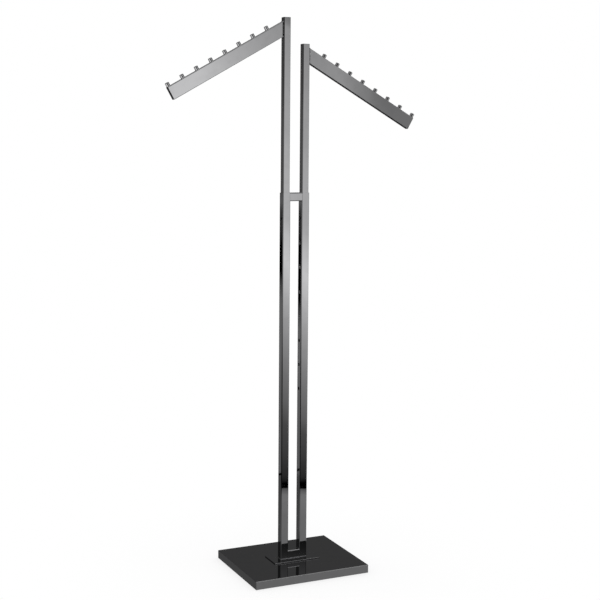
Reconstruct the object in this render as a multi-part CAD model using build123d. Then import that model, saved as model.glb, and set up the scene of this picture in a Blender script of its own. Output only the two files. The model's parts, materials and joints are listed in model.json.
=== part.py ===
from build123d import *
import os

# Two-way garment rack: a weighted chrome base, a welded frame of two square tubes,
# and two telescoping uprights, each with a sloping arm that carries hanger pins.
# Millimetres. The origin is on the floor under the centre of the base.
# +X points along the right arm, +Y to the back, +Z up.

# Base
BASE_WIDTH = 381.0
BASE_DEPTH = 317.5
BASE_HEIGHT = 25.4
BASE_SHEET = 1.5
BASE_EDGE_RADIUS = 1.2
BALLAST_THICKNESS = 6.0
BALLAST_GAP = 1.0

# Rubber feet and their screws
FOOT_PROUD = 1.0
FOOT_INSET = 30.0
FOOT_TOP_RADIUS = 15.0
FOOT_BOTTOM_RADIUS = 12.5
FOOT_COUNTERBORE_RADIUS = 5.6
FOOT_COUNTERBORE_DEPTH = 9.0
FOOT_SCREW_RADIUS = 2.5
FOOT_SCREW_HEAD_RADIUS = 4.6
FOOT_SCREW_HEAD_HEIGHT = 3.0
FOOT_SCREW_SOCKET_RADIUS = 1.5
FOOT_SCREW_SOCKET_DEPTH = 1.8

# Welded frame
TUBE_SIZE = 25.4
TUBE_WALL = 1.2
TUBE_CORNER = 2.3
TUBE_SPACING = 63.5
TUBE_LENGTH = 1155.0
FOOT_PLATE_WIDTH = 152.4
FOOT_PLATE_DEPTH = 82.5
FOOT_PLATE_THICKNESS = 3.0
FOOT_PLATE_CORNER = 1.5
FOOT_PLATE_EDGE_RADIUS = 0.6
CROSSBAR_COPE = 1.5

# Holes in the faces of the frame tubes that face each other. The top one holds the
# guide bush, and the rest are the height holes.
HOLE_RADIUS = 5.5
HOLE_PITCH = 76.2
HEIGHT_HOLE_COUNT = 7
BUSH_HOLE_BELOW_TOP = 78.5
LEFT_HOLE_NUMBER = 1
RIGHT_HOLE_NUMBER = 2

# Bolts that hold the frame to the base
PLUG_HEIGHT = 20.0
PLUG_CORNER = 1.2
PLUG_CLEARANCE = 0.05
BOLT_RADIUS = 4.0
BOLT_THREAD_CLEARANCE = 0.05
BOLT_HOLE_RADIUS = 4.5
BOLT_ENGAGEMENT = 16.0
BOLT_HEAD_ACROSS_FLATS = 13.0
BOLT_HEAD_HEIGHT = 5.3
WASHER_RADIUS = 8.0
WASHER_THICKNESS = 1.6

# Nylon guide bushes in the mouths of the frame tubes
BUSH_LENGTH = 100.0
BUSH_WALL = 0.55
BUSH_CLEARANCE = 0.05
BUSH_RECESS = 0.5
BUSH_CORNER = 1.2
BUSH_BOSS_CLEARANCE = 0.1
BUSH_TAB_WIDTH = 17.0
BUSH_TAB_HEIGHT = 6.4
BUSH_TAB_CORNER = 2.0

# Telescoping uprights
UPRIGHT_SIZE = 21.6
UPRIGHT_WALL = 1.2
UPRIGHT_CORNER = 1.6
UPRIGHT_TOP_ABOVE_BUTTON = 679.2
UPRIGHT_BELOW_BUTTON = 190.5
BUTTON_HOLE_RADIUS = 5.35
CAP_THICKNESS = 3.0
CAP_SPIGOT_SIZE = 19.1
CAP_SPIGOT_LENGTH = 12.0
CAP_EDGE_RADIUS = 1.3

# Arms
ARM_SLOPE = 29.2
ARM_LENGTH = 419.1
ARM_HEIGHT = 40.5
ARM_THICKNESS = 15.0
ARM_WALL = 1.2
ARM_CORNER = 1.6
ARM_TOP_BELOW_CAP = 11.9
ARM_SHIFT = 2.35
END_CAP_DEPTH = 9.0
END_CAP_HEAD = 1.5
END_CAP_HEAD_INSET = 0.3
END_CAP_EDGE_RADIUS = 0.8
END_CAP_CLEARANCE = 0.05
PIN_COUNT = 8
PIN_PITCH = 50.8
PIN_RADIUS = 6.3
PIN_HEIGHT = 11.5
PIN_EDGE_RADIUS = 1.2

# Spring buttons
BUTTON_RADIUS = 5.1
BUTTON_PROUD = 3.0
BUTTON_DOME = 2.0
BUTTON_FLANGE_RADIUS = 6.8
BUTTON_FLANGE_THICKNESS = 1.2
SPRING_THICKNESS = 0.8
SPRING_WIDTH = 9.0
SPRING_LEG = 34.0
SPRING_ABOVE_BUTTON = 7.0

MIN_CORNER = 0.3
CUT_LENGTH = 60.0

# Heights that follow from the sizes above
BASE_TOP = FOOT_PROUD + BASE_HEIGHT
BALLAST_TOP = BASE_TOP - BASE_SHEET
BALLAST_BOTTOM = BALLAST_TOP - BALLAST_THICKNESS
FRAME_BOTTOM = BASE_TOP + FOOT_PLATE_THICKNESS
FRAME_TOP = FRAME_BOTTOM + TUBE_LENGTH
BUSH_HOLE_Z = FRAME_TOP - BUSH_HOLE_BELOW_TOP
TUBE_BORE = TUBE_SIZE - 2 * TUBE_WALL
UPRIGHT_BORE = UPRIGHT_SIZE - 2 * UPRIGHT_WALL
ARM_BORE_CORNER = ARM_CORNER - ARM_WALL
ARM_TUBE_LENGTH = ARM_LENGTH - END_CAP_HEAD
ARM_ROOT_Z = UPRIGHT_TOP_ABOVE_BUTTON - ARM_TOP_BELOW_CAP

# Each side is one design: the left is the right turned half a turn about the vertical.
SIDES = {
    "left": (-TUBE_SPACING / 2, 180.0, LEFT_HOLE_NUMBER),
    "right": (TUBE_SPACING / 2, 0.0, RIGHT_HOLE_NUMBER),
}
ON_FLOOR = (Align.CENTER, Align.CENTER, Align.MIN)


def group(solids):
    """Several loose pieces kept as one node."""
    return Compound(children=list(solids))


def square_bar(size, corner, length):
    """A solid square bar standing on z = 0."""
    return extrude(RectangleRounded(size, size, corner), amount=length)


def square_tube(size, wall, length, corner):
    """A square tube standing on z = 0."""
    bore_corner = max(corner - wall, MIN_CORNER)
    return square_bar(size, corner, length) - square_bar(size - 2 * wall, bore_corner, length)


def cross_drill(radius, x, z):
    """A round cutter along X, centred at this place."""
    return Pos(x, 0, z) * Rot(0, 90, 0) * Cylinder(radius, TUBE_SIZE / 2)


def on_frame(shape, side):
    """Places a piece made about a frame tube's axis, with the other tube towards -X."""
    x, turn, _ = SIDES[side]
    return Pos(x, 0, 0) * Rot(0, 0, turn) * shape


def on_upright(shape, side):
    """Places a piece made about an upright's axis, with z = 0 at its spring button."""
    x, turn, hole_number = SIDES[side]
    button_z = BUSH_HOLE_Z - hole_number * HOLE_PITCH
    return Pos(x, 0, button_z) * Rot(0, 0, turn) * shape


def on_arm(shape):
    """Places a piece made along the arm's top line, which runs from x = 0 at z = 0."""
    return Pos(UPRIGHT_SIZE / 2, -ARM_SHIFT, ARM_ROOT_Z) * Rot(0, ARM_SLOPE, 0) * shape


def bolt_places():
    return [(x, 0) for x, _, _ in SIDES.values()]


def foot_places():
    x = BASE_WIDTH / 2 - FOOT_INSET
    y = BASE_DEPTH / 2 - FOOT_INSET
    return [(-x, -y), (x, -y), (x, y), (-x, y)]


def drilled(plate, places, radius):
    """The plate with round holes right through it at these places."""
    for x, y in places:
        plate -= Pos(x, y, 0) * Cylinder(radius, CUT_LENGTH * 2)
    return plate


# ---- base ----


def base_cover():
    outer = Pos(0, 0, FOOT_PROUD) * Box(BASE_WIDTH, BASE_DEPTH, BASE_HEIGHT, align=ON_FLOOR)
    top_edges = outer.faces().sort_by(Axis.Z)[-1].edges()
    upright_edges = outer.edges().filter_by(Axis.Z)
    outer = fillet(top_edges + upright_edges, BASE_EDGE_RADIUS)
    inside = Box(
        BASE_WIDTH - 2 * BASE_SHEET,
        BASE_DEPTH - 2 * BASE_SHEET,
        BALLAST_TOP,
        align=ON_FLOOR,
    )
    return drilled(outer - inside, bolt_places(), BOLT_HOLE_RADIUS)


def ballast_plate():
    margin = 2 * (BASE_SHEET + BALLAST_GAP)
    plate = Pos(0, 0, BALLAST_BOTTOM) * Box(
        BASE_WIDTH - margin, BASE_DEPTH - margin, BALLAST_THICKNESS, align=ON_FLOOR
    )
    plate = drilled(plate, bolt_places(), BOLT_HOLE_RADIUS)
    return drilled(plate, foot_places(), FOOT_SCREW_RADIUS + BOLT_THREAD_CLEARANCE)


def rubber_foot():
    foot = Cone(FOOT_BOTTOM_RADIUS, FOOT_TOP_RADIUS, BALLAST_BOTTOM, align=ON_FLOOR)
    counterbore = Cylinder(FOOT_COUNTERBORE_RADIUS, FOOT_COUNTERBORE_DEPTH, align=ON_FLOOR)
    bore = Cylinder(FOOT_SCREW_RADIUS + BOLT_THREAD_CLEARANCE, BALLAST_BOTTOM, align=ON_FLOOR)
    return foot - counterbore - bore


def foot_screw():
    head_bottom = FOOT_COUNTERBORE_DEPTH - FOOT_SCREW_HEAD_HEIGHT
    head = Cylinder(FOOT_SCREW_HEAD_RADIUS, FOOT_SCREW_HEAD_HEIGHT, align=ON_FLOOR)
    socket = Cylinder(FOOT_SCREW_SOCKET_RADIUS, FOOT_SCREW_SOCKET_DEPTH, align=ON_FLOOR)
    shank = Cylinder(FOOT_SCREW_RADIUS, BALLAST_TOP - head_bottom, align=ON_FLOOR)
    return Pos(0, 0, head_bottom) * (head + shank - socket)


# ---- welded frame ----


def foot_plate():
    outline = RectangleRounded(FOOT_PLATE_WIDTH, FOOT_PLATE_DEPTH, FOOT_PLATE_CORNER)
    plate = Pos(0, 0, BASE_TOP) * extrude(outline, amount=FOOT_PLATE_THICKNESS)
    plate = fillet(plate.faces().sort_by(Axis.Z)[-1].edges(), FOOT_PLATE_EDGE_RADIUS)
    return drilled(plate, bolt_places(), BOLT_HOLE_RADIUS)


def bush_tab(grow, start, end):
    """A rounded tab along X at the bush hole's height, grown all round by this much."""
    outline = RectangleRounded(
        BUSH_TAB_WIDTH + 2 * grow, BUSH_TAB_HEIGHT + 2 * grow, BUSH_TAB_CORNER + grow
    )
    return extrude(Plane.YZ.offset(start) * Pos(0, BUSH_HOLE_Z) * outline, amount=end - start)


def frame_tube():
    """One frame tube: a row of holes towards the other tube, a slot for the bush's tab outside."""
    tube = Pos(0, 0, FRAME_BOTTOM) * square_tube(TUBE_SIZE, TUBE_WALL, TUBE_LENGTH, TUBE_CORNER)
    for number in range(HEIGHT_HOLE_COUNT + 1):
        tube -= cross_drill(HOLE_RADIUS, -TUBE_SIZE / 2, BUSH_HOLE_Z - number * HOLE_PITCH)
    return tube - bush_tab(BUSH_BOSS_CLEARANCE, TUBE_BORE / 2 - TUBE_WALL, TUBE_SIZE)


def crossbar(bottom):
    """A short square tube between the frame tubes, its ends coped round their corners."""
    length = TUBE_SPACING - TUBE_SIZE + 2 * CROSSBAR_COPE
    tube = square_tube(TUBE_SIZE, TUBE_WALL, length, TUBE_CORNER)
    tube = Pos(-length / 2, 0, bottom + TUBE_SIZE / 2) * Rot(0, 90, 0) * tube
    for x, _, _ in SIDES.values():
        tube -= Pos(x, 0, bottom) * square_bar(TUBE_SIZE, TUBE_CORNER, TUBE_SIZE)
    return tube


def tube_plug():
    """A tapped steel block welded into the lower end of a frame tube."""
    plug = square_bar(TUBE_BORE - 2 * PLUG_CLEARANCE, PLUG_CORNER, PLUG_HEIGHT)
    return Pos(0, 0, FRAME_BOTTOM) * drilled(plug, [(0, 0)], BOLT_RADIUS + BOLT_THREAD_CLEARANCE)


def bolt_washer():
    ring = Cylinder(WASHER_RADIUS, WASHER_THICKNESS, align=ON_FLOOR)
    ring = drilled(ring, [(0, 0)], BOLT_HOLE_RADIUS)
    return Pos(0, 0, BALLAST_BOTTOM - WASHER_THICKNESS) * ring


def frame_bolt():
    head_top = BALLAST_BOTTOM - WASHER_THICKNESS
    flats_radius = BOLT_HEAD_ACROSS_FLATS / 2
    head = extrude(RegularPolygon(flats_radius, 6, major_radius=False), amount=-BOLT_HEAD_HEIGHT)
    shank = Cylinder(BOLT_RADIUS, FRAME_BOTTOM + BOLT_ENGAGEMENT - head_top, align=ON_FLOOR)
    return Pos(0, 0, head_top) * (head + shank)


def guide_bush():
    """A thin nylon sleeve in the tube's mouth, held by a boss inside and a tab outside."""
    size = TUBE_BORE - 2 * BUSH_CLEARANCE
    sleeve = square_tube(size, BUSH_WALL, BUSH_LENGTH, BUSH_CORNER)
    sleeve = Pos(0, 0, FRAME_TOP - BUSH_RECESS - BUSH_LENGTH) * sleeve
    in_wall = size / 2 - BUSH_WALL / 2
    boss = Cylinder(HOLE_RADIUS - BUSH_BOSS_CLEARANCE, TUBE_SIZE / 2 - in_wall, align=ON_FLOOR)
    boss = Pos(-in_wall, 0, BUSH_HOLE_Z) * Rot(0, -90, 0) * boss
    return sleeve + boss + bush_tab(0, in_wall, TUBE_SIZE / 2)


# ---- telescoping uprights ----


def upright_tube():
    length = UPRIGHT_BELOW_BUTTON + UPRIGHT_TOP_ABOVE_BUTTON - CAP_THICKNESS
    tube = square_tube(UPRIGHT_SIZE, UPRIGHT_WALL, length, UPRIGHT_CORNER)
    tube = Pos(0, 0, -UPRIGHT_BELOW_BUTTON) * tube
    return tube - cross_drill(BUTTON_HOLE_RADIUS, -UPRIGHT_SIZE / 2, 0)


def top_cap():
    """A square cap with a spigot that fits down inside the upright."""
    plate = square_bar(UPRIGHT_SIZE, UPRIGHT_CORNER, CAP_THICKNESS)
    plate = fillet(plate.faces().sort_by(Axis.Z)[-1].edges(), CAP_EDGE_RADIUS)
    spigot = square_bar(CAP_SPIGOT_SIZE, MIN_CORNER * 2, -CAP_SPIGOT_LENGTH)
    return Pos(0, 0, UPRIGHT_TOP_ABOVE_BUTTON - CAP_THICKNESS) * (plate + spigot)


def arm_bar(inset, corner, length):
    """A solid bar along the arm, its outline this far inside the arm's."""
    outline = RectangleRounded(ARM_THICKNESS - 2 * inset, ARM_HEIGHT - 2 * inset, corner)
    return extrude(Plane.YZ * Pos(0, -ARM_HEIGHT / 2) * outline, amount=length)


def arm_tube():
    """A flat tube, square at its outer end and coped where it meets the post."""
    bore = arm_bar(ARM_WALL, ARM_BORE_CORNER, ARM_TUBE_LENGTH)
    tube = on_arm(arm_bar(0, ARM_CORNER, ARM_TUBE_LENGTH) - bore)
    post = square_bar(UPRIGHT_SIZE, UPRIGHT_CORNER, 2 * CUT_LENGTH)
    return tube - Pos(0, 0, ARM_ROOT_Z - CUT_LENGTH) * post


def arm_end_cap():
    """A black plug pushed into the arm's open end, with a thin round-edged head over it."""
    plug = arm_bar(ARM_WALL + END_CAP_CLEARANCE, ARM_BORE_CORNER, END_CAP_DEPTH)
    head = arm_bar(END_CAP_HEAD_INSET, ARM_CORNER, END_CAP_HEAD)
    head = fillet(head.faces().sort_by(Axis.X)[-1].edges(), END_CAP_EDGE_RADIUS)
    return on_arm(Pos(ARM_TUBE_LENGTH, 0, 0) * (Pos(-END_CAP_DEPTH, 0, 0) * plug + head))


def hanger_pins():
    """Short round studs seated over the arm's top, the last one level with the arm's end."""
    pin = Pos(0, 0, -ARM_CORNER) * Cylinder(PIN_RADIUS, PIN_HEIGHT + ARM_CORNER, align=ON_FLOOR)
    pin = fillet(pin.faces().sort_by(Axis.Z)[-1].edges(), PIN_EDGE_RADIUS)
    pin -= Pos(-PIN_PITCH / 2, 0, 0) * arm_bar(0, ARM_CORNER, PIN_PITCH)
    last = ARM_LENGTH - PIN_RADIUS
    places = [last - number * PIN_PITCH for number in range(PIN_COUNT)]
    return [on_arm(Pos(along, 0, 0) * pin) for along in places]


def snap_button():
    """A domed button with a flange that stops against the inside of the upright's wall."""
    flange_face = UPRIGHT_BORE / 2
    tip = TUBE_SIZE / 2 + BUTTON_PROUD
    stem = Cylinder(BUTTON_RADIUS, tip - flange_face, align=ON_FLOOR)
    stem = fillet(stem.faces().sort_by(Axis.Z)[-1].edges(), BUTTON_DOME)
    flange = Cylinder(BUTTON_FLANGE_RADIUS, BUTTON_FLANGE_THICKNESS, align=ON_FLOOR)
    flange = Pos(0, 0, -BUTTON_FLANGE_THICKNESS) * flange
    return Rot(0, -90, 0) * Pos(0, 0, flange_face) * (stem + flange)


def button_spring():
    """A folded leaf: one leg behind the button, one on the far wall, a round bend below."""
    far_leg = UPRIGHT_BORE / 2
    near_leg = UPRIGHT_BORE / 2 - BUTTON_FLANGE_THICKNESS
    bend_radius = (far_leg + near_leg) / 2
    bend_x = (far_leg - near_leg) / 2
    ring = Circle(bend_radius) - Circle(bend_radius - SPRING_THICKNESS)
    bend = ring & Pos(0, -bend_radius) * Rectangle(4 * bend_radius, 2 * bend_radius)
    leg_height = SPRING_LEG + SPRING_ABOVE_BUTTON
    leg = Rectangle(SPRING_THICKNESS, leg_height, align=(Align.CENTER, Align.MIN))
    reach = bend_radius - SPRING_THICKNESS / 2
    outline = bend + Pos(-reach, 0) * leg + Pos(reach, 0) * leg
    profile = Plane.XZ * Pos(bend_x, -SPRING_LEG) * outline
    return extrude(profile, amount=SPRING_WIDTH / 2, both=True)


# ---- the whole rack ----


def stand_parts():
    parts = {
        "base_cover": base_cover(),
        "ballast_plate": ballast_plate(),
        "rubber_feet": group(Pos(x, y, 0) * rubber_foot() for x, y in foot_places()),
        "foot_screws": group(Pos(x, y, 0) * foot_screw() for x, y in foot_places()),
        "foot_plate": foot_plate(),
        "top_crossbar": crossbar(FRAME_TOP - TUBE_SIZE),
        "bottom_crossbar": crossbar(FRAME_BOTTOM),
        "tube_plugs": group(on_frame(tube_plug(), side) for side in SIDES),
        "bolt_washers": group(on_frame(bolt_washer(), side) for side in SIDES),
        "frame_bolts": group(on_frame(frame_bolt(), side) for side in SIDES),
    }
    for side in SIDES:
        parts[f"frame_tube_{side}"] = on_frame(frame_tube(), side)
        parts[f"guide_bush_{side}"] = on_frame(guide_bush(), side)
    return parts


def upright_parts(side):
    return {
        f"upright_tube_{side}": on_upright(upright_tube(), side),
        f"top_cap_{side}": on_upright(top_cap(), side),
        f"arm_tube_{side}": on_upright(arm_tube(), side),
        f"arm_end_cap_{side}": on_upright(arm_end_cap(), side),
        f"hanger_pins_{side}": group(on_upright(pin, side) for pin in hanger_pins()),
        f"button_spring_{side}": on_upright(button_spring(), side),
        f"snap_button_{side}": on_upright(snap_button(), side),
    }


os.makedirs("parts", exist_ok=True)
rack = stand_parts()
for side_name in SIDES:
    rack.update(upright_parts(side_name))
for node, shape in rack.items():
    export_step(shape, f"parts/{node}.step")
print("nodes", len(rack))
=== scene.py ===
"""The look of the two-way clothing rack: chrome on every tube, a mirror base, black plastic and
rubber trim, small weld beads, a pale studio floor and the light that chrome needs to look like chrome.
Metres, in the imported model's own frame: +X along the right arm, +Y to the back, +Z up."""

import json
import math

import bmesh
import bpy
from mathutils import Matrix, Vector
from mathutils.noise import noise as noise_at


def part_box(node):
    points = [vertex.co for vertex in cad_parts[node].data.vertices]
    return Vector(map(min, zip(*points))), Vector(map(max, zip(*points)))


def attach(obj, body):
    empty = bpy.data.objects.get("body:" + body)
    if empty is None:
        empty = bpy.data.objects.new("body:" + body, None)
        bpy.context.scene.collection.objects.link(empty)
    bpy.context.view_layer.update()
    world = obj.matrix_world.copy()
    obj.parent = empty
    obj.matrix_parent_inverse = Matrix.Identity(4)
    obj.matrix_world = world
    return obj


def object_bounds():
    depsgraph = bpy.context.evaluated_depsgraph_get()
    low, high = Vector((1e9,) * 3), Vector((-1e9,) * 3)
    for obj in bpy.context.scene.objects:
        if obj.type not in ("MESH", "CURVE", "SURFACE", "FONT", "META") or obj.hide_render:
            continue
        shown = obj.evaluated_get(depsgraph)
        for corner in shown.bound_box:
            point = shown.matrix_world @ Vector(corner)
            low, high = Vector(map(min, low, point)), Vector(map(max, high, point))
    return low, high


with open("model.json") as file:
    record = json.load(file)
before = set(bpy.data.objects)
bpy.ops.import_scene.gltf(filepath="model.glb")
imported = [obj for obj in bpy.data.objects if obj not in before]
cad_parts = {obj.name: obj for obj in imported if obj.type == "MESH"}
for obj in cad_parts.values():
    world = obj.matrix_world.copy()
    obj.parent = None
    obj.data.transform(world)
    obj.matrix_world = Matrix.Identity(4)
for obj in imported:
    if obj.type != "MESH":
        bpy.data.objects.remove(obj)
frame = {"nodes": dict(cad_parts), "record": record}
cad_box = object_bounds()
nodes = frame["nodes"]

MM = 0.001
SIDES = {"left": -1, "right": 1}


def add_object(name, data):
    made = bpy.data.objects.new(name, data)
    bpy.context.scene.collection.objects.link(made)
    return made


# ---------------------------------------------------------------- camera

CAMERA_AZIMUTH = 24.93      # degrees to the left of the rack's front
CAMERA_DISTANCE = 3.793     # metres, level, from the rack's middle
CAMERA_HEIGHT = 1.3495
CAMERA_TILT = 7.46          # degrees down
CAMERA_ROLL = 0.44
CAMERA_LENS = 74.1          # millimetres, on the sensor below
CAMERA_SENSOR = 36.0
CAMERA_BEARING = 24.64      # where it stands, a little off the way it looks


def make_camera():
    data = bpy.data.cameras.new("camera")
    data.lens = CAMERA_LENS
    data.sensor_width = CAMERA_SENSOR
    camera = add_object("camera", data)
    bearing = math.radians(CAMERA_BEARING)
    low, high = cad_box
    middle = (low + high) / 2
    place = Vector((-math.sin(bearing), -math.cos(bearing), 0)) * CAMERA_DISTANCE
    place += Vector((middle.x, middle.y, CAMERA_HEIGHT))
    turn = Matrix.Rotation(-math.radians(CAMERA_AZIMUTH), 4, "Z")
    tilt = Matrix.Rotation(math.radians(90 - CAMERA_TILT), 4, "X")
    roll = Matrix.Rotation(math.radians(CAMERA_ROLL), 4, "Z")
    camera.matrix_world = Matrix.Translation(place) @ turn @ tilt @ roll
    bpy.context.scene.camera = camera


# ---------------------------------------------------------------- node helpers


class Tree:
    """A short way to write shader nodes."""

    def __init__(self, node_tree):
        self.node_tree = node_tree
        node_tree.nodes.clear()

    def node(self, kind, **settings):
        made = self.node_tree.nodes.new(kind)
        for name, value in settings.items():
            setattr(made, name, value)
        return made

    def feed(self, socket, value):
        if isinstance(value, bpy.types.NodeSocket):
            self.node_tree.links.new(value, socket)
        else:
            socket.default_value = value

    def math(self, operation, a, b=0.0):
        made = self.node("ShaderNodeMath", operation=operation)
        self.feed(made.inputs[0], a)
        self.feed(made.inputs[1], b)
        return made.outputs[0]

    def remap(self, value, from_low, from_high, to_low, to_high, smooth=False):
        made = self.node("ShaderNodeMapRange")
        if smooth:
            made.interpolation_type = "SMOOTHSTEP"
        for socket, number in zip(made.inputs, (value, from_low, from_high, to_low, to_high)):
            self.feed(socket, number)
        return made.outputs[0]

    def step(self, value, start, end, smooth=True):
        """0 before start, 1 after end."""
        return self.remap(value, start, end, 0.0, 1.0, smooth)

    def window(self, value, start, end, soft):
        """1 between start and end, with soft edges inside them."""
        rise = self.step(value, start, start + soft)
        drop = self.step(value, end - soft, end)
        return self.math("MULTIPLY", rise, self.math("SUBTRACT", 1.0, drop))

    def mix(self, factor, a, b):
        """A number between a and b."""
        made = self.node("ShaderNodeMix", data_type="FLOAT")
        self.feed(made.inputs["Factor"], factor)
        self.feed(made.inputs["A"], a)
        self.feed(made.inputs["B"], b)
        return made.outputs["Result"]

    def mix_color(self, factor, a, b):
        made = self.node("ShaderNodeMix", data_type="RGBA")
        self.feed(made.inputs["Factor"], factor)
        self.feed(made.inputs[6], a)
        self.feed(made.inputs[7], b)
        return made.outputs[2]

    def scaled(self, vector, factors):
        made = self.node("ShaderNodeVectorMath", operation="MULTIPLY")
        self.feed(made.inputs[0], vector)
        made.inputs[1].default_value = factors
        return made.outputs[0]

    def split(self, vector):
        made = self.node("ShaderNodeSeparateXYZ")
        self.feed(made.inputs[0], vector)
        return made.outputs

    def curve(self, value, points):
        """Straight lines through (position, level) points, with positions from 0 to 1."""
        made = self.node("ShaderNodeFloatCurve")
        made.mapping.use_clip = False
        line = made.mapping.curves[0]
        while len(line.points) < len(points):
            line.points.new(0.5, 0.5)
        for point, (x, y) in zip(line.points, points):
            point.location = (x, y)
            point.handle_type = "VECTOR"
        made.mapping.update()
        self.feed(made.inputs["Value"], value)
        return made.outputs[0]

    def place(self):
        """Where a point lies on its piece, in metres."""
        return self.node("ShaderNodeTexCoord").outputs["Object"]

    def finish(self, shader, kind="ShaderNodeOutputMaterial"):
        self.feed(self.node(kind).inputs["Surface"], shader.outputs[0])


# ---------------------------------------------------------------- studio

# The studio as chrome sees it. Elevations are degrees above the horizon. Bearings are degrees
# round from the front, -Y, towards +X. Levels are brightness.

# The curves of the three sides, as (elevation, level), reach from FINE_LOW to FINE_HIGH.
FINE_LOW, FINE_HIGH = -24.0, 12.0
FRONT_LEVELS = (
    (-24, 0.04), (-22, 0.09), (-20.8, 0.18), (-18.5, 0.195), (-17.4, 0.20), (-16.7, 0.235),
    (-16.36, 0.227), (-16.2, 0.12), (-16.02, 0.0), (-15.86, 0.003), (-15.66, 0.026), (-15.5, 0.032),
    (-14.4, 0.064), (-13.2, 0.088), (-12.1, 0.17), (-10.9, 0.235), (-9.8, 0.32), (-8.4, 0.45),
    (-7.5, 0.56), (-6.6, 0.70), (-5.6, 0.82), (-4.5, 0.745), (-3.6, 0.62), (-2.8, 0.60),
    (-1.7, 0.61), (-0.5, 0.59), (0.4, 0.53), (2.2, 0.51), (3.1, 0.47), (4.0, 0.445),
    (5.2, 0.42), (5.32, 0.27), (5.6, 0.22), (8, 0.13), (10, 0.05), (12, 0.012),
)
LEFT_LEVELS = (
    (-24, 0.06), (-20, 0.09), (-16.5, 0.09), (-16.2, 0.03), (-16.1, 0.0), (-10.6, 0.0),
    (-9.2, 0.07), (1.2, 0.07), (2.6, 0.008), (12, 0.02),
)
BACK_LEVELS = (
    (-24, 0.05), (-20, 0.075), (-18, 0.067), (-15.6, 0.067), (-15.4, 0.13), (-12, 0.135),
    (-9.8, 0.16), (-7.6, 0.145), (-6.9, 0.07), (-6.4, 0.01), (-6.3, 0.0), (-4.85, 0.0),
    (-4.6, 0.012), (-4.2, 0.03), (-3.9, 0.03), (-3.4, 0.04), (-2.9, 0.12), (-2.4, 0.085),
    (0, 0.085), (2.5, 0.07), (4.5, 0.055), (8, 0.03), (12, 0.015),
)

# Between these bearings, with this soft edge, the front and the back take over from the left.
FRONT_BEARINGS = (14.0, 150.0, 5.0)
BACK_BEARINGS = (-168.0, -140.0, 5.0)

# The upper front light changes from left to right: the elevations where this sets in, then
# (bearing, share).
FRONT_UPPER = (-6.5, -3.5)
FALL_WIDE = 64.0            # the last bearing
FRONT_FALL = (
    (0, 0.5), (14, 1.55), (20.3, 1.53), (21.0, 1.39), (21.7, 1.25), (22.4, 1.17), (23.1, 1.06),
    (23.8, 1.0), (24.3, 1.0), (25.2, 0.90), (26.6, 0.93), (27.5, 0.71), (28.3, 0.50),
    (28.9, 0.43), (31.5, 0.43), (33, 0.60), (40, 1.0), (64, 1.0),
)
# Farther right all of it is dimmer: first bearing, last bearing, share from there on.
FRONT_DIMMER = ((31.5, 36.0, 0.70), (105.0, 147.0, 0.25))

# The levels slant with the bearing. CENTRE is where they are true, REACH how far they slant
# either way, LEAN how steeply. FROM and TO are the elevations where this starts and ends.
FRONT_SLANT_CENTRE = 24.2
FRONT_SLANT_REACH = (-1.0, 1.5)
FRONT_SLANT_FROM = (-15.0, -13.0)
FRONT_LEAN = 0.8
BACK_SLANT_CENTRE = -155.9
BACK_SLANT_REACH = (-0.4, 1.4)
BACK_SLANT_FROM = (-12.0, -9.0)
BACK_SLANT_TO = (-6.4, -5.2)
BACK_LEAN = 1.45

# Two crisp black lines, as lowest and highest elevation. The back one slants too, and has these
# elevations at its centre.
LINE_EDGE = 0.03
BLACK_BAND = (-16.17, -15.855)
BACK_MARK = (-15.58, -15.44)
BACK_MARK_CENTRE = -156.0
BACK_MARK_SLOPE = 0.24

# Behind and to the right it is dark, which the base's top shows: bearings with their soft edge,
# the second pair on both sides, then elevations and levels.
REAR_RIGHT = (145.0, 181.0, 3.0)
REAR_MIDDLE = (166.0, 181.0, 3.0)
REAR_ELEVATIONS = (4.0, 14.0)
REAR_LEVELS = (0.022, 0.050)

# It is dark straight down, and there is a soft light overhead.
DOWN_ELEVATIONS = (-36.0, -24.0)
DOWN_LEVEL = 0.03
OVERHEAD_ELEVATIONS = (28.0, 62.0)
OVERHEAD_LEVEL = 0.55

# Soft boxes that the other sides and the pins show: centre bearing, half width, lowest and
# highest elevation, level. The one straight behind is centred on BEHIND.
BEHIND = 180
BOX_EDGE_ACROSS = 3.0
BOX_EDGE_UP = 2.0
SOFT_BOXES = (
    (BEHIND, 8, -24, 14, 0.30),
    (-45, 24, -9.6, 2, 0.16),
    (-45, 11, -34, -16.6, 0.22),
    (-135, 9, -10, 2, 0.16),
    (-135, 9, -34, -16.6, 0.22),
    (66, 37, 5.6, 18.6, 0.70),
    (104, 30, -24, -10, 0.30),
    (-60, 60, -44, -22, 0.70),
    (-65, 60, 14, 50, 0.06),
    (24, 9, 18.4, 26, 0.062),
)


def fine_curve(tree, elevation, levels):
    span = FINE_HIGH - FINE_LOW
    place = tree.step(elevation, FINE_LOW, FINE_HIGH, smooth=False)
    return tree.curve(place, [((e - FINE_LOW) / span, level) for e, level in levels])


def darkened(tree, level, elevation, start, end):
    """The level, but black between these two elevations."""
    inside = tree.window(elevation, start, end, LINE_EDGE)
    return tree.math("MULTIPLY", level, tree.math("SUBTRACT", 1.0, inside))


def off_centre(tree, bearing, centre, least, most):
    """Degrees from the centre, no less than least and no more than most."""
    off = tree.math("SUBTRACT", bearing, centre)
    return tree.math("MINIMUM", tree.math("MAXIMUM", off, least), most)


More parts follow.
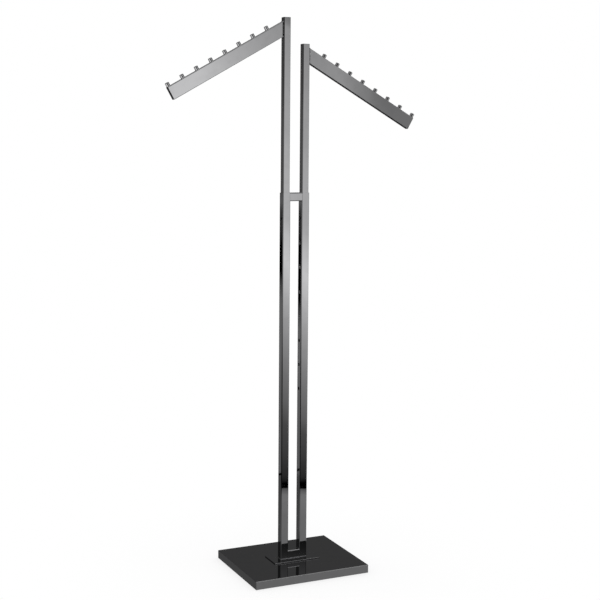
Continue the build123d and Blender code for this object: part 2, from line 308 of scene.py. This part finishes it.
def front_light(tree, elevation, bearing):
    """The bright side that the faces towards -Y and the right edges show."""
    off = off_centre(tree, bearing, FRONT_SLANT_CENTRE, *FRONT_SLANT_REACH)
    lean = tree.remap(elevation, *FRONT_SLANT_FROM, 0.0, FRONT_LEAN)
    slant = tree.math("MULTIPLY", off, lean)
    level = fine_curve(tree, tree.math("ADD", elevation, slant), FRONT_LEVELS)
    across = tree.step(bearing, 0.0, FALL_WIDE, smooth=False)
    fall = tree.curve(across, [(b / FALL_WIDE, share) for b, share in FRONT_FALL])
    upper = tree.step(elevation, *FRONT_UPPER)
    level = tree.math("MULTIPLY", level, tree.mix(upper, 1.0, fall))
    for first, last, share in FRONT_DIMMER:
        level = tree.math("MULTIPLY", level, tree.remap(bearing, first, last, 1.0, share))
    return darkened(tree, level, elevation, *BLACK_BAND)


def back_light(tree, elevation, bearing):
    """The dark side with one black band that the faces towards -X show."""
    off = off_centre(tree, bearing, BACK_SLANT_CENTRE, *BACK_SLANT_REACH)
    start = tree.remap(elevation, *BACK_SLANT_FROM, 0.0, BACK_LEAN)
    lean = tree.math("MULTIPLY", start, tree.remap(elevation, *BACK_SLANT_TO, 1.0, 0.0))
    slant = tree.math("MULTIPLY", off, lean)
    level = fine_curve(tree, tree.math("ADD", elevation, slant), BACK_LEVELS)
    off = tree.math("SUBTRACT", bearing, BACK_MARK_CENTRE)
    slant = tree.math("MULTIPLY", off, -BACK_MARK_SLOPE)
    return darkened(tree, level, tree.math("ADD", elevation, slant), *BACK_MARK)


def soft_box(tree, elevation, bearing, half, low_edge, high_edge, strength):
    """The light of a soft box, with the bearing measured from its centre."""
    beyond = tree.step(tree.math("ABSOLUTE", bearing), half - BOX_EDGE_ACROSS, half)
    inside = tree.math("SUBTRACT", 1.0, beyond)
    upright = tree.window(elevation, low_edge, high_edge, BOX_EDGE_UP)
    inside = tree.math("MULTIPLY", inside, upright)
    return tree.math("MULTIPLY", inside, strength)


def studio_level(tree):
    """How bright the studio is in the direction that a reflected ray takes."""
    x, y, z = tree.split(tree.node("ShaderNodeTexCoord").outputs["Generated"])
    elevation = tree.math("MULTIPLY", tree.math("ARCSINE", z), 180 / math.pi)
    bearing = tree.math("ARCTAN2", x, tree.math("MULTIPLY", y, -1.0))
    bearing = tree.math("MULTIPLY", bearing, 180 / math.pi)
    turned = tree.math("ABSOLUTE", bearing)
    level = fine_curve(tree, elevation, LEFT_LEVELS)
    in_front = tree.window(bearing, *FRONT_BEARINGS)
    level = tree.mix(in_front, level, front_light(tree, elevation, bearing))
    behind = tree.window(bearing, *BACK_BEARINGS)
    level = tree.mix(behind, level, back_light(tree, elevation, bearing))
    rear_right = tree.window(bearing, *REAR_RIGHT)
    rear = tree.math("MAXIMUM", rear_right, tree.window(turned, *REAR_MIDDLE))
    level = tree.mix(rear, level, tree.remap(elevation, *REAR_ELEVATIONS, *REAR_LEVELS))
    level = tree.mix(tree.step(elevation, *DOWN_ELEVATIONS), DOWN_LEVEL, level)
    for centre, *box in SOFT_BOXES:
        # bearings jump straight behind, so the box there is measured both ways
        off = tree.math("SUBTRACT", turned if centre == BEHIND else bearing, centre)
        level = tree.math("ADD", level, soft_box(tree, elevation, off, *box))
    return tree.mix(tree.step(elevation, *OVERHEAD_ELEVATIONS), level, OVERHEAD_LEVEL)


def make_world():
    """White behind the rack; in the chrome, a studio that is light in front and dark behind."""
    world = bpy.data.worlds.new("studio")
    bpy.context.scene.world = world
    world.use_nodes = True
    tree = Tree(world.node_tree)
    level = studio_level(tree)
    glossy = tree.node("ShaderNodeLightPath").outputs["Is Glossy Ray"]
    background = tree.node("ShaderNodeBackground")
    tree.feed(background.inputs["Color"], (1.0, 1.0, 1.0, 1.0))
    tree.feed(background.inputs["Strength"], tree.mix(glossy, 1.0, level))
    tree.finish(background, "ShaderNodeOutputWorld")


FLOOR_REACH = 6.0           # metres
FLOOR_TINT = (0.98, 0.98, 0.98, 1)
FLOOR_FADE = (0.2, 0.8)     # metres from the rack's middle, where the backdrop's share changes
FLOOR_GLOW = (0.70, 1.0)    # its share before and after that


def make_floor():
    """A pale floor that fades into the white backdrop before it ends."""
    reach = FLOOR_REACH
    verts = [(-reach, -reach, 0), (reach, -reach, 0), (reach, reach, 0), (-reach, reach, 0)]
    mesh = bpy.data.meshes.new("floor")
    mesh.from_pydata(verts, [], [(0, 1, 2, 3)])
    floor = add_object("floor", mesh)
    floor.visible_glossy = False
    material, tree = new_material("pale_floor")
    far = tree.node("ShaderNodeVectorMath", operation="LENGTH")
    tree.feed(far.inputs[0], tree.place())
    matt = tree.node("ShaderNodeBsdfDiffuse")
    matt.inputs["Color"].default_value = FLOOR_TINT
    glow = tree.node("ShaderNodeEmission")
    glow.inputs["Color"].default_value = (1, 1, 1, 1)
    mixed = tree.node("ShaderNodeMixShader")
    share = tree.remap(far.outputs["Value"], *FLOOR_FADE, *FLOOR_GLOW, smooth=True)
    tree.feed(mixed.inputs[0], share)
    tree.feed(mixed.inputs[1], matt.outputs[0])
    tree.feed(mixed.inputs[2], glow.outputs[0])
    tree.finish(mixed)
    floor.data.materials.append(material)


# ---------------------------------------------------------------- materials

ARM_SLOPE = 29.2            # degrees
HAIR_ACROSS = 900.0         # how fine the hair scratches are across a tube,
HAIR_ALONG = 14.0           # along it,
HAIR_EVEN = 260.0           # and on a piece where they run every way
CHROME_WAVE = 0.3 * MM      # how high the noise of its waviness stands
HAIR_DEPTH = 0.001 * MM
HAIR_STRENGTH = 0.2
HAIR_MARKS = (0.60, 0.74)   # the part of the noise that dulls the chrome
PRINT_MARKS = (0.50, 0.72)  # the same for its smudges
MARK_ROUGHNESS = 0.012      # added where it is scratched or smudged
PRINT_SHARE = 0.45          # how much of the duller colour a smudge takes
PRINT_DULL = 0.90

WELD_SPOTS = (0.42, 0.62)
WELD_DARK = 0.45
WELD_PITS = (0.3, 0.7)
WELD_ROUGHNESS = (0.12, 0.32)
WELD_PIT_DEPTH = 0.2 * MM

WORN_SPOTS = (0.45, 0.70)
WORN_PALER = 1.9
WORN_ROUGHER = 0.12
GRAIN_DEPTH = 0.1 * MM


def new_material(name):
    material = bpy.data.materials.new(name)
    material.use_nodes = True
    return material, Tree(material.node_tree)


def noise(tree, vector, scale, detail=2.0):
    made = tree.node("ShaderNodeTexNoise", noise_dimensions="3D")
    tree.feed(made.inputs["Vector"], vector)
    made.inputs["Scale"].default_value = scale
    made.inputs["Detail"].default_value = detail
    return made.outputs["Fac"]


def spots(tree, field, marks):
    """0 where the noise is low and 1 where it is high."""
    return tree.step(field, *marks, smooth=False)


def tinted(tree, share, tint, factor):
    """The tint, taking this share of the tint times the factor."""
    other = tuple(factor * c for c in tint)
    return tree.mix_color(share, (*tint, 1), (*other, 1))


def bumped(tree, height, distance, strength, under=None):
    bump = tree.node("ShaderNodeBump")
    bump.inputs["Distance"].default_value = distance
    bump.inputs["Strength"].default_value = strength
    tree.feed(bump.inputs["Height"], height)
    if under is not None:
        tree.feed(bump.inputs["Normal"], under)
    return bump.outputs[0]


def finish_shader(tree, color, roughness, normal, metallic, shine=0.5):
    shader = tree.node("ShaderNodeBsdfPrincipled")
    shader.inputs["Specular IOR Level"].default_value = shine
    shader.inputs["Metallic"].default_value = metallic
    tree.feed(shader.inputs["Base Color"], color)
    tree.feed(shader.inputs["Roughness"], roughness)
    tree.feed(shader.inputs["Normal"], normal)
    tree.finish(shader)


def along_piece(tree, place, grain):
    """Coordinates for hair scratches: up a tube, down the arms, or the same every way."""
    if grain == "even":
        return tree.scaled(place, (HAIR_EVEN, HAIR_EVEN, HAIR_EVEN))
    if grain == "arm":
        x, y, z = tree.split(place)
        joined = tree.node("ShaderNodeCombineXYZ")
        for socket, value in zip(joined.inputs, (tree.math("ABSOLUTE", x), y, z)):
            tree.feed(socket, value)
        turn = tree.node("ShaderNodeVectorRotate", rotation_type="Y_AXIS")
        tree.feed(turn.inputs["Vector"], joined.outputs[0])
        turn.inputs["Angle"].default_value = -math.radians(ARM_SLOPE)
        return tree.scaled(turn.outputs[0], (HAIR_ALONG, HAIR_ACROSS, HAIR_ACROSS))
    return tree.scaled(place, (HAIR_ACROSS, HAIR_ACROSS, HAIR_ALONG))


def chrome(name, tint, roughness, grain="up", wave=0.2, scratches=1.0):
    """Bright plated steel: a slight waviness, hair scratches and faint smudges in its gloss."""
    material, tree = new_material(name)
    place = tree.place()
    wide = noise(tree, place, scale=17.0, detail=1.0)
    smear = noise(tree, place, scale=55.0, detail=3.0)
    hair = noise(tree, along_piece(tree, place, grain), scale=1.0, detail=3.0)
    marks = spots(tree, hair, HAIR_MARKS)
    prints = spots(tree, smear, PRINT_MARKS)
    rough = tree.math("ADD", roughness, tree.math("MULTIPLY", marks, MARK_ROUGHNESS * scratches))
    rough = tree.math("ADD", rough, tree.math("MULTIPLY", prints, MARK_ROUGHNESS))
    color = tinted(tree, tree.math("MULTIPLY", prints, PRINT_SHARE), tint, PRINT_DULL)
    normal = bumped(tree, wide, CHROME_WAVE, wave)
    normal = bumped(tree, hair, HAIR_DEPTH, HAIR_STRENGTH * scratches, normal)
    finish_shader(tree, color, rough, normal, metallic=1.0)
    return material


def weld_metal(name, tint):
    """A plated weld bead: rougher than the tubes, with small pits and darker spots."""
    material, tree = new_material(name)
    place = tree.place()
    pits = noise(tree, place, scale=1500.0)
    blotch = noise(tree, place, scale=420.0)
    color = tinted(tree, spots(tree, blotch, WELD_SPOTS), tint, WELD_DARK)
    rough = tree.remap(pits, *WELD_PITS, *WELD_ROUGHNESS)
    normal = bumped(tree, pits, WELD_PIT_DEPTH, strength=0.6)
    finish_shader(tree, color, rough, normal, metallic=1.0)
    return material


def moulded(name, tint, roughness, shine=0.5):
    """Black plastic or rubber with a fine moulded grain and slightly paler worn spots."""
    material, tree = new_material(name)
    place = tree.place()
    fine = noise(tree, place, scale=1400.0)
    broad = noise(tree, place, scale=90.0)
    worn = spots(tree, broad, WORN_SPOTS)
    color = tinted(tree, worn, tint, WORN_PALER)
    rough = tree.remap(worn, 0.0, 1.0, roughness, roughness + WORN_ROUGHER)
    normal = bumped(tree, fine, GRAIN_DEPTH, strength=0.5)
    finish_shader(tree, color, rough, normal, metallic=0.0, shine=shine)
    return material


def make_materials():
    """One material for each of the record's slots, and two for the welds."""
    grey = (0.66, 0.66, 0.67)
    # name, tint, roughness, and how the scratches run where they don't run up a tube
    return {
        "chrome_base": chrome("chrome_base", grey, 0.008, "even", wave=0.10),
        "chrome_plate": chrome("chrome_plate", grey, 0.02, "even"),
        "chrome_tube": chrome("chrome_tube", grey, 0.010, wave=0.1),
        "chrome_upright": chrome("chrome_upright", grey, 0.014, scratches=1.5),
        "chrome_cap": chrome("chrome_cap", grey, 0.02, "even"),
        "chrome_arm": chrome("chrome_arm", grey, 0.02, "arm"),
        "chrome_pin": chrome("chrome_pin", grey, 0.03, "even"),
        "nickel_button": chrome("nickel_button", (0.46, 0.45, 0.43), 0.10, "even"),
        "spring_steel": chrome("spring_steel", (0.30, 0.31, 0.35), 0.28),
        "zinc_steel": chrome("zinc_steel", (0.56, 0.57, 0.58), 0.30, "even"),
        "ballast_steel": chrome("ballast_steel", (0.28, 0.28, 0.29), 0.40, "even"),
        "black_rubber": moulded("black_rubber", (0.02, 0.02, 0.02), 0.70),
        "black_plastic": moulded("black_plastic", (0.006, 0.006, 0.007), 0.38, shine=0.35),
        "black_nylon": moulded("black_nylon", (0.002, 0.002, 0.0022), 0.50, shine=0.12),
        "weld": weld_metal("weld", (0.68, 0.68, 0.69)),
        "frame_weld": weld_metal("frame_weld", (0.30, 0.30, 0.31)),
    }


def paint_nodes(materials):
    """Gives each CAD node its slot's material."""
    for part in frame["record"]["subparts"]:
        mesh = nodes[part["node"]].data
        mesh.materials.clear()
        mesh.materials.append(materials[part["material_slot"]])


# ---------------------------------------------------------------- welds

WELD_STEP = 0.8 * MM        # between the rings of a bead's skin
RIPPLE_PITCH = 2.6 * MM     # the bead's ripples, left by the torch
RIPPLE_SHARE = 0.10         # how much they add to its size
CHANCE_SHARE = 0.14         # the same for chance
CHANCE_SCALE = 260.0
SINK = 0.25 * MM            # how far a bead's hidden side lies in the metal
TUBE_CORNER = 2.3 * MM
ARM_CORNER = 1.6 * MM
ARM_HEIGHT = 40.5 * MM
PIN_COUNT = 8
CORNER_FACES = 4            # round a tube's corner

FOOT_LEG = 1.7 * MM
CROSSBAR_LEG = 1.6 * MM
PIN_LEG = 0.8 * MM
PIN_BEAD_REACH = 60         # degrees either way
PIN_BEAD_FACES = 16
BEAD_FACES = 6              # across a corner bead
BEAD_FLATTER = 0.20         # at its middle, than a round one
BEAD_TIP = 0.35             # its size at its ends
TIP_RINGS = 3               # how many rings it grows over from there

COLLAR_WIDTH = 3.6 * MM
COLLAR_HEIGHT = 0.7 * MM
COLLAR_ROOT = 3 * SINK      # how far inside the post it starts
COLLAR_FACES = 7            # across the collar
COLLAR_ROUND = 2.4          # the power that rounds off its top
COLLAR_TOE = 0.9            # where its hidden side ends, as a share of its width


def skin(bm, rings, closed):
    """Joins rings of points into a closed skin: a loop of rings, or a bar with two ends."""
    rows = [[bm.verts.new(p) for p in ring] for ring in rings]
    count = len(rows[0])
    following = rows[1:] + rows[:1] if closed else rows[1:]
    for one, two in zip(rows, following):
        for i in range(count):
            j = (i + 1) % count
            bm.faces.new((one[i], one[j], two[j], two[i]))
    if not closed:
        bm.faces.new(rows[0])
        bm.faces.new(rows[-1])


def piece_from(name, bm, body, material):
    bmesh.ops.recalc_face_normals(bm, faces=bm.faces)
    for face in bm.faces:
        face.smooth = len(face.verts) == 4
    mesh = bpy.data.meshes.new(name)
    bm.to_mesh(mesh)
    bm.free()
    made = add_object(name, mesh)
    made.data.materials.append(material)
    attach(made, body)


def uneven(place, run):
    """A factor near 1: torch ripples along the bead, and a little chance."""
    ripple = RIPPLE_SHARE * math.sin(run * 2 * math.pi / RIPPLE_PITCH)
    return 1.0 + ripple + CHANCE_SHARE * noise_at(place * CHANCE_SCALE)


def taper_at(number, count):
    """Rounds off a bead's two ends."""
    from_end = min(number, count - 1 - number)
    return min(1.0, BEAD_TIP + (1 - BEAD_TIP) * from_end / TIP_RINGS)


def corner_bead(bm, path, leg, closed=False):
    """A fillet weld. path holds (corner point, direction along one face, along the other)."""
    rings = []
    run = 0.0
    last = path[0][0]
    for number, (place, one, two) in enumerate(path):
        run += (place - last).length
        last = place
        size = leg * uneven(place, run)
        if not closed:
            size *= taper_at(number, len(path))
        hidden = place - (one + two) * SINK
        ring = [hidden, hidden + one * (size + SINK)]
        for step in range(BEAD_FACES + 1):
            turn = math.pi / 2 * step / BEAD_FACES
            bulge = 1 - BEAD_FLATTER * math.sin(2 * turn)
            ring.append(place + (one * math.cos(turn) + two * math.sin(turn)) * size * bulge)
        ring.append(hidden + two * (size + SINK))
        rings.append(ring)
    skin(bm, rings, closed)


def collar_bead(bm, path, along):
    """A flat weld round a bar. path holds (point on the bar's skin, direction out of it)."""
    rings = []
    run = 0.0
    last = path[-1][0]
    for place, out in path:
        run += (place - last).length
        last = place
        grow = uneven(place, run)
        root = place - along * COLLAR_ROOT
        ring = [root - out * SINK, root + out * COLLAR_HEIGHT * grow]
        for step in range(1, COLLAR_FACES + 1):
            share = step / COLLAR_FACES
            fall = math.sqrt(max(0.0, 1 - share ** COLLAR_ROUND))
            width = COLLAR_WIDTH * share * (COLLAR_TOE + (1 - COLLAR_TOE) * grow)
            ring.append(place + along * width + out * COLLAR_HEIGHT * grow * fall)
        ring.append(place + along * COLLAR_WIDTH * COLLAR_TOE - out * SINK)
        rings.append(ring)
    skin(bm, rings, True)


def straight(start, end, one, two):
    """A corner bead's path along a straight corner."""
    count = max(4, round((end - start).length / WELD_STEP))
    return [(start.lerp(end, i / count), one, two) for i in range(count + 1)]


def rounded_loop(half_a, half_b, corner):
    """(a, b, outward a, outward b) round a rounded rectangle, close together."""
    signs = ((1, 1), (-1, 1), (-1, -1), (1, -1))
    centres = [(a * (half_a - corner), b * (half_b - corner)) for a, b in signs]
    made = []
    for quarter, centre in enumerate(centres):
        for step in range(CORNER_FACES + 1):
            way = quarter * math.pi / 2 + math.pi / 2 * step / CORNER_FACES
            out = (math.cos(way), math.sin(way))
            made.append((centre[0] + corner * out[0], centre[1] + corner * out[1], *out))
        start = made[-1][:2]
        out = (round(out[0]), round(out[1]))
        target = centres[(quarter + 1) % 4]
        end = (target[0] + corner * out[0], target[1] + corner * out[1])
        count = max(2, round(math.dist(start, end) / WELD_STEP))
        for i in range(1, count):
            a, b = (p + (q - p) * (i / count) for p, q in zip(start, end))
            made.append((a, b, *out))
    return made


def foot_weld(material):
    """The bead round the two tubes and the bottom crossbar, on the foot plate."""
    left_low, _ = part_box("frame_tube_left")
    _, right_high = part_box("frame_tube_right")
    middle = (left_low + right_high) / 2
    middle.z = left_low.z
    half_x, half_y = (right_high.x - left_low.x) / 2, (right_high.y - left_low.y) / 2
    path = []
    for x, y, out_x, out_y in rounded_loop(half_x, half_y, TUBE_CORNER):
        path.append((middle + Vector((x, y, 0)), Vector((out_x, out_y, 0)), Vector((0, 0, 1))))
    bm = bmesh.new()
    corner_bead(bm, path, FOOT_LEG, closed=True)
    piece_from("weld_frame_foot", bm, "stand", material)


def crossbar_welds(material):
    """Short beads in the corners between each crossbar and the tubes."""
    for name, upward in (("top_crossbar", -1), ("bottom_crossbar", 1)):
        bar_low, bar_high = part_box(name)
        z = bar_low.z if upward < 0 else bar_high.z
        reach_y = bar_high.y - TUBE_CORNER
        bm = bmesh.new()
        for side, tube in ((-1, "frame_tube_left"), (1, "frame_tube_right")):
            tube_low, tube_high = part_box(tube)
            x = tube_high.x if side < 0 else tube_low.x
            start, end = Vector((x, -reach_y, z)), Vector((x, reach_y, z))
            path = straight(start, end, Vector((0, 0, upward)), Vector((-side, 0, 0)))
            corner_bead(bm, path, CROSSBAR_LEG)
        piece_from("weld_" + name, bm, "stand", material)


def arm_frame(side):
    """An arm's root on the post's face, its direction, its normal and its half thickness."""
    sign = SIDES[side]
    arm_low, arm_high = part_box("arm_tube_" + side)
    post_low, post_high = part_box("upright_tube_" + side)
    x = post_low.x if sign < 0 else post_high.x
    root = Vector((x, (arm_low.y + arm_high.y) / 2, arm_high.z))
    slope = math.radians(ARM_SLOPE)
    along = Vector((sign * math.cos(slope), 0, -math.sin(slope)))
    normal = Vector((sign * math.sin(slope), 0, math.cos(slope)))
    return root, along, normal, (arm_high.y - arm_low.y) / 2


def arm_weld(side, material):
    """The uneven collar of weld where the arm meets the post."""
    root, along, normal, half = arm_frame(side)
    path = []
    for y, n, out_y, out_n in rounded_loop(half, ARM_HEIGHT / 2, ARM_CORNER):
        depth = n - ARM_HEIGHT / 2
        point = root + Vector((0, y, 0)) + normal * depth
        point -= along * ((point.x - root.x) / along.x)
        path.append((point, Vector((0, out_y, 0)) + normal * out_n))
    bm = bmesh.new()
    collar_bead(bm, path, along)
    piece_from("weld_arm_" + side, bm, side + "_upright", material)


def pin_welds(side, material):
    """Two small crescents of weld at the foot of each pin, where the arm's top is flat."""
    root, along, normal, _ = arm_frame(side)
    mesh = nodes["hanger_pins_" + side].data
    reach = [(v.co - root).dot(along) for v in mesh.vertices]
    pin_low, pin_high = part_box("hanger_pins_" + side)
    radius = (pin_high.y - pin_low.y) / 2
    first, last = min(reach) + radius, max(reach) - radius
    across = Vector((0, 1, 0))
    bm = bmesh.new()
    for number in range(PIN_COUNT):
        centre = root + along * (first + (last - first) * number / (PIN_COUNT - 1))
        for way in (-1, 1):
            path = []
            for step in range(PIN_BEAD_FACES + 1):
                turn = math.radians(PIN_BEAD_REACH * (2 * step / PIN_BEAD_FACES - 1))
                out = (along * way) * math.cos(turn) + across * math.sin(turn)
                path.append((centre + out * radius, out, normal))
            corner_bead(bm, path, PIN_LEG)
    piece_from("weld_pins_" + side, bm, side + "_upright", material)


make_camera()
make_world()
make_floor()
palette = make_materials()
paint_nodes(palette)
foot_weld(palette["frame_weld"])
crossbar_welds(palette["frame_weld"])
for side_name in SIDES:
    arm_weld(side_name, palette["weld"])
    pin_welds(side_name, palette["weld"])
bpy.context.scene.view_settings.view_transform = "Standard"
